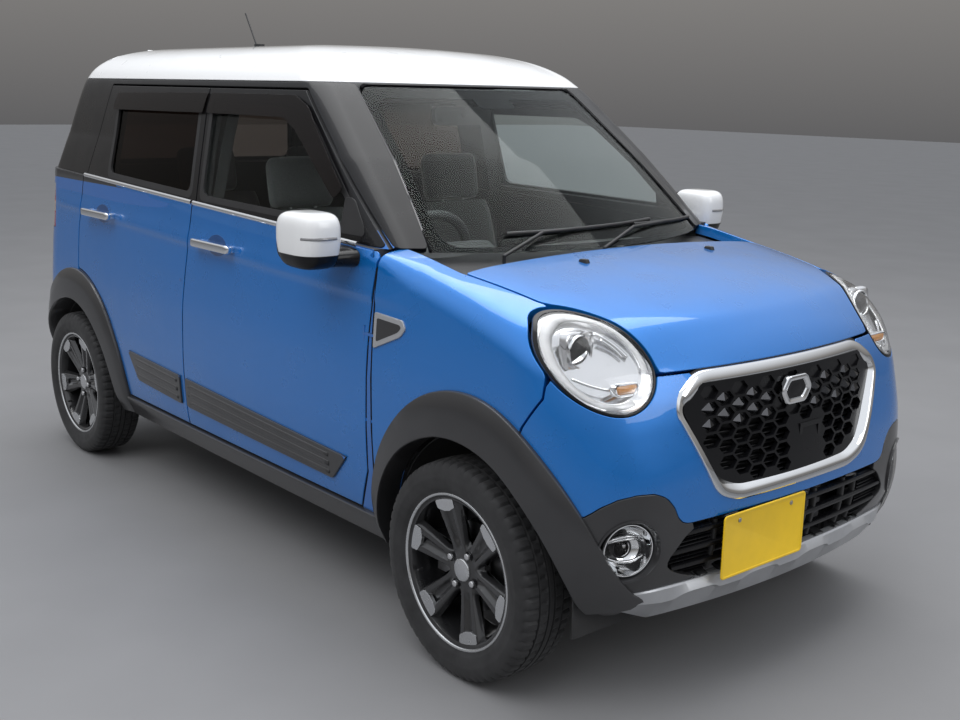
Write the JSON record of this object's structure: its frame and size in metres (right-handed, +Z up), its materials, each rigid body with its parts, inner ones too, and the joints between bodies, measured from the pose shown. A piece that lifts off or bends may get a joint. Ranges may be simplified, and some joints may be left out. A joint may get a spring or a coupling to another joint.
{
  "type": "kei car",
  "caption": "Small upright hatchback car with round headlamps, pale roof, dark wheel-arch cladding, and doors, bonnet, tailgate, steering and wheels that move.",
  "frame": {"origin": "on the ground under the middle of the car's length and width", "axes": "+X towards the nose, +Y to the car's left, +Z up"},
  "size_m": [3.395, 1.7422, 1.772],
  "materials": {
    "body_blue": "metallic gloss",
    "roof_white": "gloss",
    "black_gloss": "gloss",
    "dark_grey_plastic": "satin",
    "silver_plastic": "satin",
    "bright_trim": "polished",
    "lamp_clear": "clear",
    "lamp_red": "gloss",
    "plate_yellow": "satin",
    "glass_clear": "clear",
    "glass_dark": "tinted",
    "tyre_rubber": "matt",
    "wheel_black": "gloss with machined edges",
    "underbody": "rough",
    "engine_metal": "rough",
    "seat_cloth": "woven",
    "cabin_plastic": "grained"
  },
  "bodies": {
    "body": {"floor_pan": "underbody", "side_frame_right": "body_blue", "side_frame_left": "body_blue", "roof": "roof_white", "firewall": "black_gloss", "windscreen": "glass_clear", "wings": "body_blue", "bumper_front": "body_blue", "bumper_cladding": "dark_grey_plastic", "skid_plate": "silver_plastic", "grille_frame": "bright_trim", "grille_mesh": "black_gloss", "intake_grille": "black_gloss", "headlamps": "lamp_clear", "fog_lamps": "lamp_clear", "number_plate_front": "plate_yellow", "arch_flares": "dark_grey_plastic", "sill_garnishes": "dark_grey_plastic", "bumper_rear": "body_blue", "tail_lamps": "lamp_red", "rear_axle": "underbody", "front_subframe": "underbody", "wheel_liners": "black_gloss", "engine_block": "engine_metal", "dashboard": "cabin_plastic", "steering_wheel": "cabin_plastic", "seats_front": "seat_cloth", "seat_rear": "seat_cloth", "wipers": "black_gloss", "antenna": "black_gloss"},
    "bonnet": {"bonnet": "body_blue"},
    "tailgate": {"tailgate": "body_blue", "tailgate_glass": "glass_dark", "number_plate_rear": "plate_yellow"},
    "front_door_right": {"door_front_right": "body_blue", "glass_front_right": "glass_clear", "mirror_right": "roof_white"},
    "rear_door_right": {"door_rear_right": "body_blue", "glass_rear_right": "glass_dark"},
    "knuckle_right": {"knuckle_front_right": "underbody"},
    "front_wheel_right": {"tyre_front_right": "tyre_rubber", "rim_front_right": "wheel_black"},
    "rear_wheel_right": {"tyre_rear_right": "tyre_rubber", "rim_rear_right": "wheel_black"},
    "front_door_left": {"door_front_left": "body_blue", "glass_front_left": "glass_clear", "mirror_left": "roof_white"},
    "rear_door_left": {"door_rear_left": "body_blue", "glass_rear_left": "glass_dark"},
    "knuckle_left": {"knuckle_front_left": "underbody"},
    "front_wheel_left": {"tyre_front_left": "tyre_rubber", "rim_front_left": "wheel_black"},
    "rear_wheel_left": {"tyre_rear_left": "tyre_rubber", "rim_rear_left": "wheel_black"}
  },
  "joints": [
    {"name": "front_door_right_hinge", "type": "hinge", "parent": "body", "child": "front_door_right", "pos_m": [0.766, -0.709, 0.7], "axis": [0, 0, 1], "range_deg": [0, 65]},
    {"name": "rear_door_right_hinge", "type": "hinge", "parent": "body", "child": "rear_door_right", "pos_m": [-0.325, -0.709, 0.7], "axis": [0, 0, 1], "range_deg": [0, 68]},
    {"name": "steer_right", "type": "hinge", "parent": "body", "child": "knuckle_right", "pos_m": [1.1815, -0.6, 0.29], "axis": [0, 0, 1], "range_deg": [-36, 36]},
    {"name": "front_wheel_right_spin", "type": "hinge", "parent": "knuckle_right", "child": "front_wheel_right", "pos_m": [1.1815, -0.65, 0.29], "axis": [0, 1, 0], "continuous": true},
    {"name": "rear_wheel_right_spin", "type": "hinge", "parent": "body", "child": "rear_wheel_right", "pos_m": [-1.2735, -0.65, 0.29], "axis": [0, 1, 0], "continuous": true},
    {"name": "front_door_left_hinge", "type": "hinge", "parent": "body", "child": "front_door_left", "pos_m": [0.766, 0.709, 0.7], "axis": [0, 0, -1], "range_deg": [0, 65]},
    {"name": "rear_door_left_hinge", "type": "hinge", "parent": "body", "child": "rear_door_left", "pos_m": [-0.325, 0.709, 0.7], "axis": [0, 0, -1], "range_deg": [0, 68]},
    {"name": "steer_left", "type": "hinge", "parent": "body", "child": "knuckle_left", "pos_m": [1.1815, 0.6, 0.29], "axis": [0, 0, 1], "range_deg": [-36, 36]},
    {"name": "front_wheel_left_spin", "type": "hinge", "parent": "knuckle_left", "child": "front_wheel_left", "pos_m": [1.1815, 0.65, 0.29], "axis": [0, 1, 0], "continuous": true},
    {"name": "rear_wheel_left_spin", "type": "hinge", "parent": "body", "child": "rear_wheel_left", "pos_m": [-1.2735, 0.65, 0.29], "axis": [0, 1, 0], "continuous": true},
    {"name": "bonnet_hinge", "type": "hinge", "parent": "body", "child": "bonnet", "pos_m": [1.072, 0, 1.015], "axis": [0, -1, 0], "range_deg": [0, 55]},
    {"name": "tailgate_hinge", "type": "hinge", "parent": "body", "child": "tailgate", "pos_m": [-1.3, 0, 1.612], "axis": [0, 1, 0], "range_deg": [0, 80]}
  ],
  "couplings": [
    {"joint": "steer_left", "follows": "steer_right", "ratio": 1}
  ]
}
